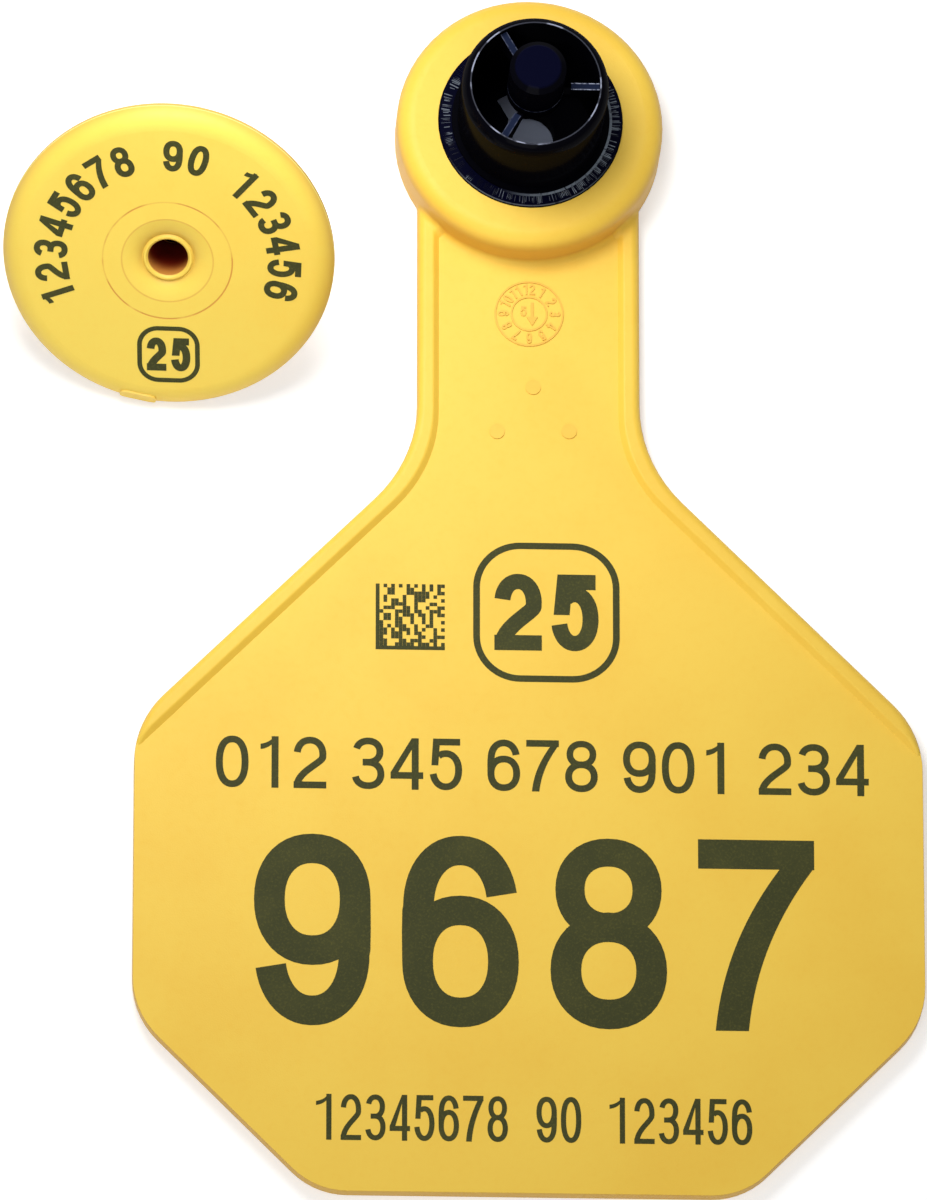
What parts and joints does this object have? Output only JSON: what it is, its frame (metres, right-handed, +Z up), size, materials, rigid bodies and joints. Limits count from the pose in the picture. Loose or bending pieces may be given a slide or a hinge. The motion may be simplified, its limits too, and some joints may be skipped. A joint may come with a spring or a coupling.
{
  "type": "livestock ear tag",
  "caption": "Two-piece livestock ear tag: a necked flat panel with a locking cup in its round head, and a round button with a hollow barbed stud.",
  "frame": {"origin": "centre of the stud's bore, on the panel's back face, which lies on the ground", "axes": "+Z up, out of the printed side and along the bore; +Y along the panel from its foot to its head; +X to the right of the print"},
  "size_m": [0.0895, 0.1207, 0.0242],
  "materials": {
    "panel": "satin yellow flexible polyurethane",
    "cup": "glossy black hard plastic",
    "button": "satin yellow flexible polyurethane",
    "tip": "black hard plastic"
  },
  "bodies": {
    "root": {"tag_panel": "panel", "locking_cup": "cup", "male_button": "button", "stud_tip": "tip"}
  },
  "joints": []
}
